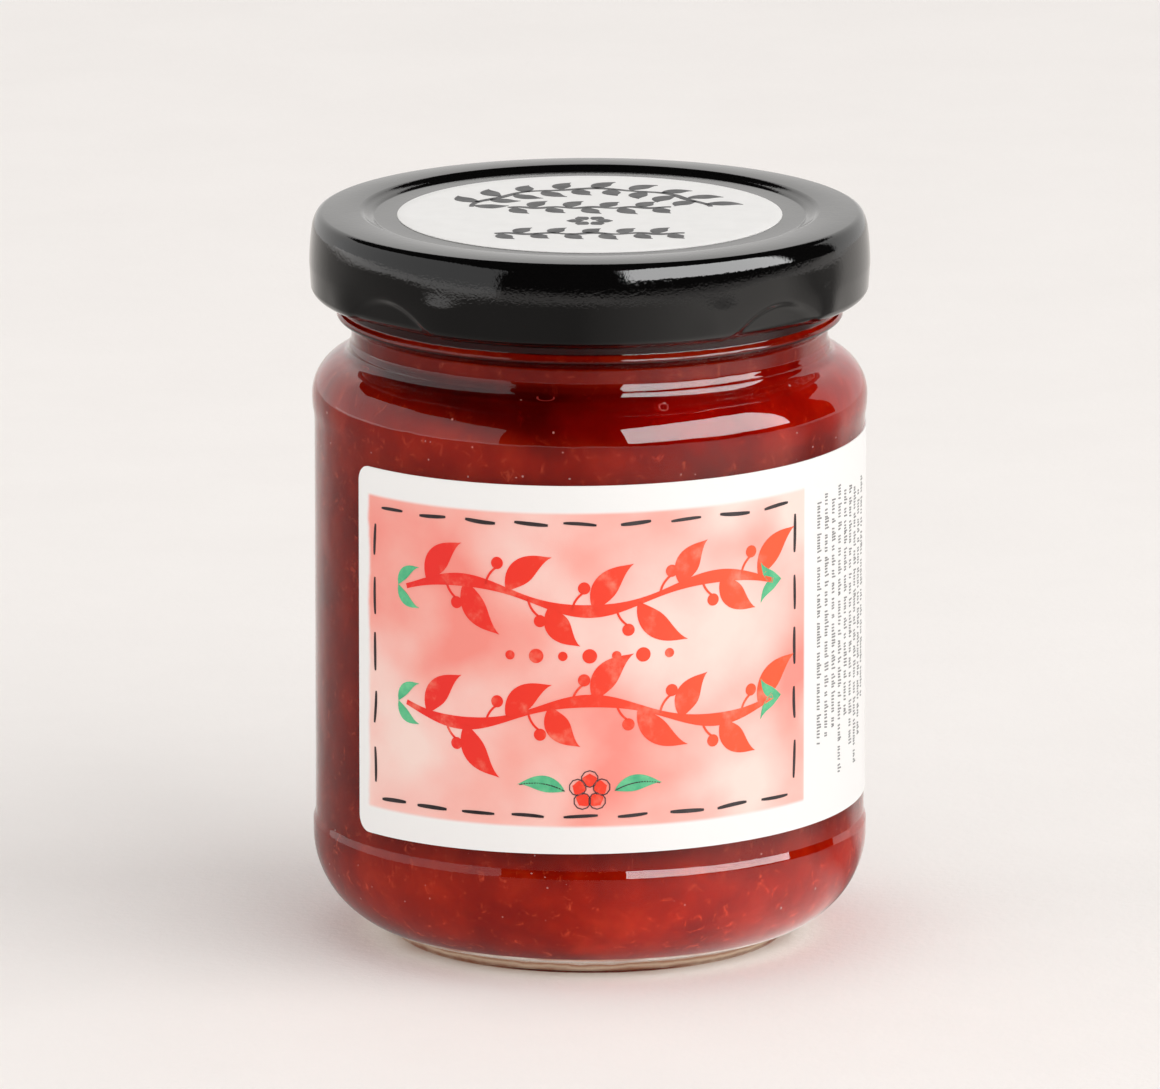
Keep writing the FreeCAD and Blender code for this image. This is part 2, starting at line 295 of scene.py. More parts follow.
# ---- node materials ----
class Nodes:
    """A node tree with short ways to add and join nodes."""

    def __init__(self, tree):
        self.tree = tree

    def node(self, kind, **settings):
        made = self.tree.nodes.new("ShaderNode" + kind)
        for key, value in settings.items():
            setattr(made, key, value)
        return made

    def join(self, source, target):
        self.tree.links.new(source, target)

    def feed(self, value, target):
        """Gives target a socket, a colour or a plain number."""
        if isinstance(value, bpy.types.NodeSocket):
            self.join(value, target)
        elif isinstance(value, tuple):
            target.default_value = (*value, 1.0)
        else:
            target.default_value = value

    def place(self, axes):
        """The shaded point's place along each of the axes, in the object's own metres."""
        split = self.node("SeparateXYZ")
        self.join(self.node("TexCoord").outputs["Object"], split.inputs["Vector"])
        return [split.outputs[axis] for axis in axes]

    def noise(self, scale, detail=4.0, roughness=0.55, where=None, distortion=0.0):
        """A noise texture over the object's own metres, scale being features per metre."""
        texture = self.node("TexNoise")
        texture.inputs["Scale"].default_value = scale
        texture.inputs["Detail"].default_value = detail
        texture.inputs["Roughness"].default_value = roughness
        texture.inputs["Distortion"].default_value = distortion
        if where is None:
            where = self.node("TexCoord").outputs["Object"]
        self.join(where, texture.inputs["Vector"])
        return texture.outputs["Fac"]

    def ramp(self, source, *stops):
        """A colour for each (position, colour) stop along source."""
        made = self.node("ValToRGB")
        elements = made.color_ramp.elements
        while len(elements) < len(stops):
            elements.new(0.5)
        for element, (position, colour) in zip(elements, stops):
            element.position = position
            element.color = (*colour, 1.0)
        self.join(source, made.inputs["Fac"])
        return made.outputs["Color"]

    def mix(self, factor, a, b, blend="MIX"):
        """A colour between a and b; each of the three is a socket or a plain value."""
        made = self.node("Mix", data_type="RGBA", blend_type=blend)
        for index, value in ((0, factor), (6, a), (7, b)):
            self.feed(value, made.inputs[index])
        return made.outputs[2]

    def maths(self, operation, a, b=0.0, c=0.0):
        made = self.node("Math", operation=operation)
        for index, value in enumerate((a, b, c)):
            self.feed(value, made.inputs[index])
        return made.outputs[0]

    def step(self, source, low, high):
        """0 below low, 1 above high, soft between."""
        made = self.node("MapRange", interpolation_type="SMOOTHSTEP")
        made.inputs["From Min"].default_value = low
        made.inputs["From Max"].default_value = high
        self.join(source, made.inputs["Value"])
        return made.outputs["Result"]

    def fall(self, source, low, high):
        """1 below low, 0 above high, soft between."""
        return self.step(self.maths("MULTIPLY", source, -1.0), -high, -low)


class Shader(Nodes):
    """The nodes of a new material."""

    def __init__(self, name):
        self.material = bpy.data.materials.new(name)
        self.material.use_nodes = True
        super().__init__(self.material.node_tree)
        self.surface = self.tree.nodes["Principled BSDF"]

    def set(self, **values):
        for key, value in values.items():
            self.surface.inputs[key.replace("_", " ")].default_value = value

    def paint(self, colour):
        self.join(colour, self.surface.inputs["Base Color"])

    def bump(self, height, distance):
        """Lifts the surface by distance where height is 1, and gives the new normal."""
        made = self.node("Bump")
        made.inputs["Distance"].default_value = distance
        self.join(height, made.inputs["Height"])
        self.join(made.outputs["Normal"], self.surface.inputs["Normal"])
        return made.outputs["Normal"]

    def glow(self, colour, strength=1.0):
        """Makes the whole surface shine by itself."""
        light = self.node("Emission")
        self.feed(colour, light.inputs["Color"])
        light.inputs["Strength"].default_value = strength
        output = self.tree.nodes["Material Output"]
        self.join(light.outputs["Emission"], output.inputs["Surface"])


def glass_material():
    """Clear pressed glass, slightly uneven, with the faintest grey tint."""
    shader = Shader("clear_glass")
    shader.paint(shader.ramp(shader.noise(60, 2.0), (0.3, (0.97, 0.98, 0.975)),
                             (0.7, (0.985, 0.99, 0.985))))
    shader.set(Roughness=0.0, IOR=1.5, Transmission_Weight=1.0)
    shader.bump(shader.noise(90, 2.0), 0.00018)
    return shader.material


def jam_body(shader):
    """Soft clouds of red gel with fine fibres of paler pulp."""
    clouds = shader.noise(130, 5.0, 0.6)
    body = shader.ramp(clouds, (0.32, (0.23, 0.004, 0.001)), (0.52, (0.34, 0.010, 0.0015)),
                       (0.7, (0.46, 0.022, 0.004)))
    pulp = shader.noise(700, 4.0, 0.7, distortion=0.6)
    return shader.mix(shader.step(pulp, 0.56, 0.74), body, (0.58, 0.055, 0.02))


def painted_heel_light(shader, body, x, z):
    """Painted light: the jam brightened at the heel, in orange on the side of the window."""
    heel = shader.fall(z, 0.006, 0.018)
    lit_side = shader.step(x, -0.008, 0.016)
    # painted light, stronger and more orange on the window's side
    glow = shader.mix(lit_side, (1.35, 1.5, 1.4), (1.8, 1.5, 1.2))
    return shader.mix(heel, body, shader.mix(1.0, body, glow, "MULTIPLY"))


def painted_shoulder_shade(shader, body, x, z):
    """Painted shade: the jam darkened in the shoulder, most left of the middle, above a slanting
    edge.
    """
    below_neck = shader.maths("SUBTRACT", 1.0, shader.step(z, 0.0692, 0.0715))
    across = shader.maths("MULTIPLY_ADD", x, 16.0, 0.5)
    leftward = shader.maths("MULTIPLY_ADD", x, -0.17, -0.0008)
    leaning = shader.maths("SUBTRACT", z, shader.maths("MAXIMUM", leftward, 0.0))
    shoulder = shader.maths("MULTIPLY", shader.step(leaning, 0.0615, 0.066), below_neck)
    # painted shade across the shoulder, darkest left of the middle, with painted light at the far
    # left and a lighter red at the far right
    depth = shader.ramp(across, (0.04, (1.3, 1.2, 1.2)), (0.15, (0.3, 0.06, 0.1)),
                        (0.27, (0.2, 0.015, 0.04)), (0.42, (0.22, 0.015, 0.04)),
                        (0.54, (0.45, 0.05, 0.05)), (0.66, (0.95, 0.12, 0.1)),
                        (0.95, (1.2, 0.6, 0.5)))
    return shader.mix(shoulder, body, shader.mix(1.0, body, depth, "MULTIPLY"))


def jam_material():
    """Cooked red fruit, with painted shade under the bead and in the shoulder and painted light at
    the heel.
    """
    shader = Shader("red_jam")
    x, z = shader.place("XZ")
    body = painted_heel_light(shader, jam_body(shader), x, z)
    body = painted_shoulder_shade(shader, body, x, z)
    # painted shade: the jam from the bead up, under the lid, is nearly black
    painted_neck_shade = shader.step(z, 0.0732, 0.0742)
    shader.paint(shader.mix(painted_neck_shade, body, (0.05, 0.0006, 0.0008)))
    shader.set(Roughness=0.5, IOR=1.38, Specular_IOR_Level=0.0, Subsurface_Weight=0.6,
               Subsurface_Scale=0.003, Subsurface_Radius=(1.0, 0.1, 0.05))
    return shader.material


def bubble_material():
    """The lit edge of an air bubble in the jam."""
    shader = Shader("bubble_edge")
    shader.paint(shader.ramp(shader.noise(700, 2.0), (0.35, (0.35, 0.004, 0.004)),
                             (0.65, (0.75, 0.06, 0.05))))
    shader.set(Roughness=0.3, Specular_IOR_Level=0.1)
    return shader.material


def pip_material():
    """Pale pink flecks: trapped air, sugar and pips."""
    shader = Shader("pale_flecks")
    shader.paint(shader.ramp(shader.noise(900, 3.0), (0.35, (0.62, 0.12, 0.08)),
                             (0.65, (0.85, 0.55, 0.52))))
    shader.set(Roughness=0.4, Specular_IOR_Level=0.2)
    return shader.material


def gleam_material():
    """Painted light: cream streaks where the glass leads light down to the foot, amber at their
    edges, that also glow faintly by themselves.
    """
    shader = Shader("foot_light")
    height = shader.place("Z")[0]
    ripple = shader.maths("MULTIPLY_ADD", shader.noise(150, 4.0, 0.6), 0.36, -0.18)
    share = shader.maths("MULTIPLY_ADD", height, 250.0, ripple)
    colour = shader.ramp(share, (0.06, (0.40, 0.14, 0.07)), (0.2, (0.80, 0.62, 0.46)),
                         (0.3, (0.52, 0.22, 0.12)), (0.38, (0.95, 0.88, 0.81)),
                         (0.58, (0.92, 0.83, 0.76)), (0.68, (0.60, 0.26, 0.16)))
    shader.paint(colour)
    # the painted light also glows faintly by itself
    shader.join(colour, shader.surface.inputs["Emission Color"])
    shader.set(Roughness=0.6, Specular_IOR_Level=0.0, Emission_Strength=0.2)
    return shader.material


def lacquer_material():
    """Gloss black lacquer on tin with a fine sandy orange peel and a little dust."""
    shader = Shader("black_lacquer")
    dust = shader.noise(5200, 2.0, 0.5)
    shader.paint(shader.ramp(dust, (0.0, (0.0018, 0.0017, 0.0017)),
                             (0.76, (0.0022, 0.002, 0.002)), (0.86, (0.03, 0.029, 0.028))))
    shader.set(Roughness=0.5, Specular_IOR_Level=0.0, Coat_Weight=1.0, Coat_Roughness=0.03,
               Coat_IOR=1.5)
    peel = shader.maths("ADD", shader.noise(2900, 2.0, 0.6), shader.noise(260, 2.0))
    shader.join(shader.bump(peel, 0.000011), shader.surface.inputs["Coat Normal"])
    return shader.material


def paper_grain(shader):
    shader.bump(shader.noise(2600, 5.0, 0.7), 0.00002)


def wash_area(shader, uv, u, v):
    """1 inside the panel of watercolour and 0 outside, its left edge wavering."""
    left, right = (PANEL_RADIUS * math.radians(a) / LABEL_UV for a in (WASH_LEFT, WASH_RIGHT))
    top = (LABEL_HEIGHT / 2 - WASH_MARGIN) / LABEL_UV
    wobble = shader.maths("MULTIPLY_ADD", shader.noise(14, 4.0, 0.6, uv), 0.012, -0.006)
    inside = shader.step(shader.maths("ADD", u, wobble), left, left + 0.008)
    for edge in (shader.fall(u, right - 0.0035, right), shader.step(v, -top, -top + 0.005),
                 shader.fall(v, top - 0.005, top)):
        inside = shader.maths("MULTIPLY", inside, edge)
    return inside


def wash_colour(shader, uv, u):
    """Coral in pools and blooms, a little paler towards the right."""
    pools = shader.noise(5.5, 1.5, 0.45, uv, 0.4)
    blooms = shader.noise(15, 3.0, 0.5, uv, 0.2)
    depth = shader.maths("ADD", shader.maths("MULTIPLY", pools, 1.15),
                         shader.maths("MULTIPLY_ADD", blooms, 0.22, -0.19))
    paler = shader.maths("MULTIPLY", shader.step(u, -0.05, 0.3), -0.11)
    return shader.ramp(shader.maths("ADD", depth, paler), (0.28, (0.94, 0.70, 0.63)),
                       (0.42, (0.95, 0.55, 0.49)), (0.54, (0.95, 0.41, 0.35)),
                       (0.68, (0.94, 0.28, 0.23)))


def wrap_paper_material():
    """White label paper with a panel of coral watercolour that has soft, pooled edges."""
    shader = Shader("label_paper")
    uv = shader.node("UVMap", uv_map="paper").outputs["UV"]
    split = shader.node("SeparateXYZ")
    shader.join(uv, split.inputs["Vector"])
    u, v = split.outputs["X"], split.outputs["Y"]
    shader.paint(shader.mix(wash_area(shader, uv, u, v), (0.88, 0.875, 0.865),
                            wash_colour(shader, uv, u)))
    shader.set(Roughness=0.55, Specular_IOR_Level=0.35)
    paper_grain(shader)
    return shader.material


def plain_paper_material():
    shader = Shader("lid_paper")
    shader.paint(shader.ramp(shader.noise(400, 4.0), (0.3, (0.81, 0.805, 0.795)),
                             (0.7, (0.84, 0.835, 0.825))))
    shader.set(Roughness=0.7, Specular_IOR_Level=0.12)
    paper_grain(shader)
    return shader.material


def finish_ink(shader, colour):
    shader.paint(colour)
    shader.set(Roughness=0.5, Specular_IOR_Level=0.35)
    paper_grain(shader)
    return shader.material


def ink_material(name, pale, deep):
    """Printed ink that is a little uneven, from pale to deep."""
    shader = Shader(name)
    return finish_ink(shader, shader.ramp(shader.noise(500, 4.0, 0.6), (0.3, deep), (0.72, pale)))


def brush_ink_material():
    """Red brush ink that turns orange towards the right, deeper where the brush pressed."""
    shader = Shader("brush_ink")
    across = shader.step(shader.place("X")[0], -0.024, 0.026)
    hue = shader.ramp(across, (0.0, (0.86, 0.010, 0.004)), (0.5, (0.93, 0.035, 0.004)),
                      (1.0, (0.95, 0.09, 0.015)))
    thin = shader.step(shader.noise(300, 4.0, 0.6), 0.5, 0.8)
    return finish_ink(shader, shader.mix(thin, hue, (0.93, 0.25, 0.16)))


def floor_material():
    """Pale paper sweep with a barely visible weave."""
    shader = Shader("pale_sweep")
    shader.paint(shader.ramp(shader.noise(35, 5.0, 0.6), (0.3, (0.895, 0.865, 0.845)),
                             (0.7, (0.915, 0.885, 0.865))))
    shader.set(Roughness=0.9, Specular_IOR_Level=0.1)
    shader.bump(shader.noise(900, 3.0, 0.6), 0.0001)
    return shader.material


def table_material():
    """Glow of the table by azimuth: dark from the far left to the front and behind right."""
    shader = Shader("table_glow")
    x, y = shader.place("XY")
    turn = shader.maths("ARCTAN2", x, shader.maths("MULTIPLY", y, -1.0))
    share = shader.maths("MULTIPLY_ADD", turn, 0.5 / math.pi, 0.5)
    shader.glow(shader.ramp(share, *[(0.5 + azimuth / 360, (tone, tone * 0.95, tone * 0.9))
                                     for azimuth, tone in TABLE_TONES]))
    return shader.material


def backdrop_material():
    shader = Shader("backdrop_glow")
    shader.glow((1.0, 0.985, 0.965), 0.98)
    return shader.material


# ---- glass ----
def jar_space(reach):
    """Inside of the glass up to the neck, moved out into its wall by reach."""
    inner = PANEL_RADIUS - GLASS_WALL
    profile = Profile(0, INNER_FLOOR + FLOOR_CROWN - reach)
    profile.line(inner - INNER_HEEL_ROUND, INNER_FLOOR - reach, 6)
    profile.arc(INNER_HEEL_ROUND + reach, -90, 0, 30)
    profile.line(inner + reach, INNER_SHOULDER_Z, 24)
    turned_in = 1 - cos(INNER_TILT)
    drawn_in = inner - INNER_NECK_RADIUS - INNER_NECK_FILLET * turned_in
    profile.arc(drawn_in / turned_in + reach, 0, INNER_TILT, 16)
    profile.arc(reach - INNER_NECK_FILLET, INNER_TILT, 0, 10)
    return profile


def add_foot(profile):
    """The foot ring and the round heel."""
    reach = FOOT_OUTER + FOOT_FILLET - (BULGE_RADIUS - HEEL_ROUND)
    fillet_z = HEEL_Z - math.sqrt((HEEL_ROUND + FOOT_FILLET) ** 2 - reach ** 2)
    heel_tilt = -math.degrees(math.atan2(HEEL_Z - fillet_z, reach))
    profile.line(FOOT_OUTER - FOOT_ROUND, 0).arc(FOOT_ROUND, -90, 0, 6)
    profile.line(FOOT_OUTER, fillet_z).arc(-FOOT_FILLET, 0, heel_tilt, 6)
    profile.arc(HEEL_ROUND, heel_tilt, 0, 40)


def add_panel(profile):
    """A crisp ledge back to the label panel, the panel, and a soft step out of it."""
    profile.line(BULGE_RADIUS, LEDGE_Z, 2).arc(LEDGE_ROUND, 0, LEDGE_TILT, 8)
    fillet = LEDGE_FILLET * (1 - cos(LEDGE_TILT))
    radius, height = profile.points[-1]
    slope = (radius - PANEL_RADIUS - fillet) / math.tan(math.radians(LEDGE_TILT))
    profile.line(PANEL_RADIUS + fillet, height + slope, 4)
    profile.arc(-LEDGE_FILLET, LEDGE_TILT, 0, 5)
    profile.line(PANEL_RADIUS, PANEL_TOP, 20)
    step = SHOULDER_Z - PANEL_TOP
    turn = 2 * math.degrees(math.atan2(BULGE_RADIUS - PANEL_RADIUS, step))
    blend = step / (2 * sin(turn))
    profile.arc(-blend, 0, -turn, 6).arc(blend, -turn, 0, 6)


def add_shoulder(profile):
    """The shoulder, the low collar and the waist."""
    profile.arc(SHOULDER_ROUND, 0, SHOULDER_TILT, 30)
    radius, height = profile.points[-1]
    profile.line(radius - FLANK * sin(SHOULDER_TILT), height + FLANK * cos(SHOULDER_TILT), 2)
    profile.arcs(COLLAR_ARCS)


def add_neck(profile):
    """The neck and its bead, then the finish under the lid and the mouth."""
    waist = profile.points[-1][0]
    lip = BEAD_RADIUS - BEAD_LIP
    fillet_width, fillet_height = 0.375, 0.65
    under = (lip - waist - fillet_width) / math.tan(math.radians(BEAD_TILT))
    profile.line(waist, BEAD_Z - under - fillet_height, 4)
    profile.arc(-WAIST_FILLET, 0, -BEAD_TILT, 8)
    profile.line(lip, BEAD_Z, 4).arcs(BEAD_ARCS)
    profile.line(FINISH_RADIUS, JAR_TOP - MOUTH_ROUND, 8).arc(MOUTH_ROUND, 0, 90, 6)
    profile.line(MOUTH_RADIUS + MOUTH_ROUND, JAR_TOP).arc(MOUTH_ROUND, 90, 180, 6)


def glass_profile():
    """Outside of the glass from under its base to the mouth, then back inside."""
    dome = (FOOT_INNER ** 2 + PUSH_UP ** 2) / (2 * PUSH_UP)
    profile = Profile(0, PUSH_UP)
    profile.arc(-dome, -90, -90 - math.degrees(math.asin(FOOT_INNER / dome)), 10)
    add_foot(profile)
    add_panel(profile)
    add_shoulder(profile)
    add_neck(profile)
    return profile.points + jar_space(0.0).points[::-1]


def glass_piece():
    jar = add_mesh("clear_jar", *turned(glass_profile(), 320), glass_material(),
                   "glass", ["glass_jar"])
    jar.visible_shadow = False


def foot_gleam():
    """Painted light caught in the thick foot: a film in the glass, just behind its outer face."""
    middle = BULGE_RADIUS - HEEL_ROUND
    reach = HEEL_ROUND - FILM_INSET
    film = [(middle + reach * cos(tilt), HEEL_Z + reach * sin(tilt)) for tilt in FILM_TILTS]
    film += FILM_FOOT
    back = [(r - FILM_THICKNESS, z + FILM_THICKNESS) for r, z in reversed(film)]
    add_mesh("foot_gleam", *turned(film + back, 240), gleam_material(), "glass")


# ---- jam ----
def jam_piece():
    """The filling, reaching just into the glass so that no air shows between them."""
    profile = jar_space(JAM_REACH)
    profile.line(JAM_EDGE, JAM_TOP, 6).line(0, JAM_TOP, 12)
    add_mesh("jam_fill", *turned(profile.points, 180), jam_material(), "jam", ["jam"])


def ball(vertices, faces, centre, radius, squash=1.0, rings=8, sides=12):
    """Adds a ball, flattened by squash along Z, to a list of vertices and faces."""
    first = len(vertices)
    for i in range(rings + 1):
        tilt = -90 + 180 * i / rings
        for j in range(sides):
            turn = 360 * j / sides
            vertices.append((centre[0] + radius * cos(tilt) * cos(turn),
                             centre[1] + radius * cos(tilt) * sin(turn),
                             centre[2] + radius * squash * sin(tilt)))
    for i in range(rings):
        for j in range(sides):
            a, b = first + i * sides + j, first + i * sides + (j + 1) % sides
            faces.append((a, b, b + sides, a + sides))


def ring(vertices, faces, centre, azimuth, tilt, radius):
    """Adds a thin oval ring on the glass that faces azimuth, tilted up."""
    tube, steps, sides, oval = 0.11, 28, 8, 0.85
    first = len(vertices)
    out = Vector((sin(azimuth) * cos(tilt), -cos(azimuth) * cos(tilt), sin(tilt)))
    across = Vector((cos(azimuth), sin(azimuth), 0))
    up = out.cross(across) * -1
    for i in range(steps):
        spoke = across * cos(360 * i / steps) + up * sin(360 * i / steps) * oval
        for j in range(sides):
            turn = 360 * j / sides
            place = Vector(centre) + spoke * (radius + tube * cos(turn)) + out * tube * sin(turn)
            vertices.append(tuple(place))
    for i in range(steps):
        for j in range(sides):
            a, b = first + i * sides + j, first + i * sides + (j + 1) % sides
            c, d = (first + (i + 1) % steps * sides + k for k in (j, (j + 1) % sides))
            faces.append((a, c, d, b))


def on_glass(azimuth, share):
    """A place just in the inner wall of the shoulder, share of the way up it."""
    points = [point for point in jar_space(PIP_REACH).points
              if INNER_SHOULDER_Z <= point[1] < INNER_SHOULDER_TOP]
    radius, height = points[round(share * (len(points) - 1))]
    return radius * sin(azimuth), -radius * cos(azimuth), height


def beside_glass(height):
    """Radius and height of a pip that lies against the wall."""
    radius = PANEL_RADIUS - GLASS_WALL + PIP_REACH
    if height < INNER_FLOOR + INNER_HEEL_ROUND:
        down = (INNER_FLOOR + INNER_HEEL_ROUND - height) / INNER_HEEL_ROUND
        radius -= INNER_HEEL_ROUND * (1 - math.sqrt(1 - down * down))
    elif height > INNER_SHOULDER_Z:
        place = on_glass(0, SHOULDER_PIP)
        radius, height = Vector(place).xy.length, place[2]
    return radius, height


def pips():
    """Pale pips and flecks in the jam, against the glass."""
    draw = random.Random(23)
    vertices, faces = [], []
    for i in range(110):
        azimuth = draw.uniform(0, 360)
        radius, height = beside_glass(draw.choice([draw.uniform(*band) for band in PIP_BANDS]))
        size = draw.uniform(0.06, 0.15)
        ball(vertices, faces, (radius * sin(azimuth), -radius * cos(azimuth), height), size,
             draw.uniform(0.5, 1.2), 6, 8)
    for azimuth, share, size in ((-17, 0.62, 0.14), (-8, 0.3, 0.12), (18, 0.55, 0.2),
                                 (-32, 0.35, 0.12), (55, 0.5, 0.14)):
        ball(vertices, faces, on_glass(azimuth, share), size)
    add_mesh("jam_pips", vertices, faces, pip_material(), "jam")


def bubbles():
    """Air bubbles against the shoulder, seen by their lit edges."""
    vertices, faces = [], []
    for azimuth, share, radius, tilt in ((-11, 0.72, 0.95, 55), (17.5, 0.5, 0.5, 40),
                                         (-70, 0.6, 0.6, 45), (120, 0.5, 0.8, 42)):
        ring(vertices, faces, on_glass(azimuth, share), azimuth, tilt, radius)
    add_mesh("jam_bubbles", vertices, faces, bubble_material(), "jam")


# ---- lid ----
def add_hem(profile):
    """The rolled hem, from the skirt round to its inside."""
    profile.line(HEM_RADIUS, LID_FOOT + HEM_HEIGHT, 16)
    profile.arc(0.16, 0, -20, 2).arc(1.3, -14, -90, 9)
    profile.line(31.0, LID_FOOT).line(HEM_INNER, LID_FOOT + 0.15)
    profile.line(HEM_INNER, LID_FOOT + 1.6, 4).line(31.9, LID_FOOT + 1.75, 2)


def lid_profile():
    """Outside of the lid from the middle of its panel to the hem, then back inside."""
    profile = Profile(0, DISC_FOOT).line(LID_PANEL_RADIUS, DISC_FOOT, 12)
    profile.arc(-LID_PANEL_FILLET, 90, RIM_TILT, 5).line(*RIM_FLANK_TOP, 2)
    profile.arc(RIM_ROUND, RIM_TILT, 88, 6).pull_end(RIM_RADIUS, LID_TOP, 6)
    # the soft corner is laid out upwards from the skirt and followed down
    corner = Profile(0, 0).arcs(LID_CORNER_ARCS)
    widest = LID_RADIUS - 0.03
    profile.points += [(r + widest, z + SKIRT_SOFT_Z) for r, z in reversed(corner.points)]
    add_hem(profile)
    profile.line(LID_RADIUS - 0.35, SKIRT_SOFT_Z, 10).line(*SKIRT_INSIDE, 4)
    profile.line(30.8, DISC_FOOT - LID_TIN, 3).line(0, DISC_FOOT - LID_TIN, 10)
    return profile.points


def dented(radius, height, azimuth):
    """Presses the skirt in over each lug, in an arch with a bulge on either side."""
    if radius < DENT_INNER or height > DENT_TOP:
        return radius, height
    above = height - LID_FOOT
    move = 0.0
    for lug in LUG_AZIMUTHS:
        offset = abs((azimuth - lug + 180) % 360 - 180)
        if offset > DENT_FAR:
            continue
        share = cos(min(90, offset * 90 / DENT_HALF_WIDTH))
        arch = DENT_ARCH * share
        pressed = smooth(arch + DENT_EDGE[0], arch + DENT_EDGE[1], above)
        move -= DENT_DEPTH * smooth(0.0, 0.3, share) * pressed
        wide = math.exp(-(offset / LEAN_HALF_WIDTH) ** 2)
        move -= DENT_LEAN * wide * smooth(LEAN_TOP, 0.0, above)
        beside = math.exp(-((offset - DENT_HALF_WIDTH) / BULGE_HALF_WIDTH) ** 2)
        move += DENT_BULGE * beside * smooth(*BULGE_TOP, above) * smooth(*BULGE_FOOT, above)
    return radius + move, height


def lid_piece():
    add_mesh("lacquered_lid", *turned(lid_profile(), 540, dented), lacquer_material(),
             "lid", ["lid"])


# ---- paper ----
def on_wrap(u, v, lift):
    """A place on the label, u along it from the front, v up from its middle line."""
    radius = PANEL_RADIUS + lift
    azimuth = math.degrees(u / PANEL_RADIUS)
    height = LABEL_MIDDLE + LABEL_RISE * u + v * math.cos(LABEL_RISE)
    return radius * sin(azimuth), -radius * cos(azimuth), height


def on_disc(u, v, lift):
    return u, v, DISC_FOOT + lift


def label_columns(left, right):
    """Where the label's columns of points lie, closer in its rounded corners."""
    turns = range(0, 90, 10)
    straight = right - left - 2 * LABEL_CORNER
    columns = [left + LABEL_CORNER * (1 - cos(turn)) for turn in turns]
    columns += [left + LABEL_CORNER + straight * i / LABEL_COLUMNS
                for i in range(LABEL_COLUMNS + 1)]
    columns += [right - LABEL_CORNER * (1 - cos(turn)) for turn in reversed(turns)]
    return columns


def sheet_faces(columns, rows):
    """Faces of a closed sheet, whose front layer of points is followed by its back layer."""
    faces = []
    width = rows + 1
    layer = columns * width
    for i in range(columns - 1):
        for j in range(rows):
            a = i * width + j
            faces.append((a, a + width, a + width + 1, a + 1))
            b = a + layer
            faces.append((b, b + 1, b + width + 1, b + width))
        for j in (0, rows):
            a = i * width + j
            faces.append((a, a + layer, a + layer + width, a + width))
    for i in (0, columns - 1):
        for j in range(rows):
            a = i * width + j
            faces.append((a, a + 1, a + 1 + layer, a + layer))
    return faces


def map_label(mesh, left):
    """Gives each corner of a face its place on the flat paper."""
    flat = mesh.uv_layers.new(name="paper")
    for loop in mesh.loops:
        x, y, z = mesh.vertices[loop.vertex_index].co / MM
        u = PANEL_RADIUS * math.atan2(x, -y)
        if u < left - 5:
            u += 2 * math.pi * PANEL_RADIUS
        v = z - LABEL_MIDDLE - LABEL_RISE * u
        flat.data[loop.index].uv = (u / LABEL_UV, v / LABEL_UV)


def wrap_label():
    """The front label's paper, with rounded corners, as a thin closed sheet."""
    left = PANEL_RADIUS * math.radians(LABEL_START)
    right = PANEL_RADIUS * math.radians(LABEL_END)
    columns = label_columns(left, right)
    vertices = []
    for lift in (PAPER, 0.0):
        for u in columns:
            near = min(u - left, right - u, LABEL_CORNER)
            cut = LABEL_CORNER - math.sqrt(LABEL_CORNER ** 2 - (LABEL_CORNER - near) ** 2)
            for j in range(LABEL_ROWS + 1):
                v = (LABEL_HEIGHT / 2 - cut) * (2 * j / LABEL_ROWS - 1)
                vertices.append(on_wrap(u, v, lift))
    piece = add_mesh("wrap_label", vertices, sheet_faces(len(columns), LABEL_ROWS),
                     wrap_paper_material(), "label_paper", ["front_label"])
    map_label(piece.data, left)


def disc_label():
    """The round label on the lid, its rim pressed down."""
    edge = Profile(0, DISC_FOOT - 0.01).line(DISC_RADIUS, DISC_FOOT - 0.01, 8)
    edge.line(DISC_RADIUS, DISC_FOOT + PAPER * 0.6)
    edge.line(DISC_RADIUS - 0.12, DISC_FOOT + PAPER, 2)
    edge.line(0, DISC_FOOT + PAPER, 16)
    add_mesh("disc_label", *turned(edge.points, 180), plain_paper_material(),
             "lid_paper", ["lid_label"])


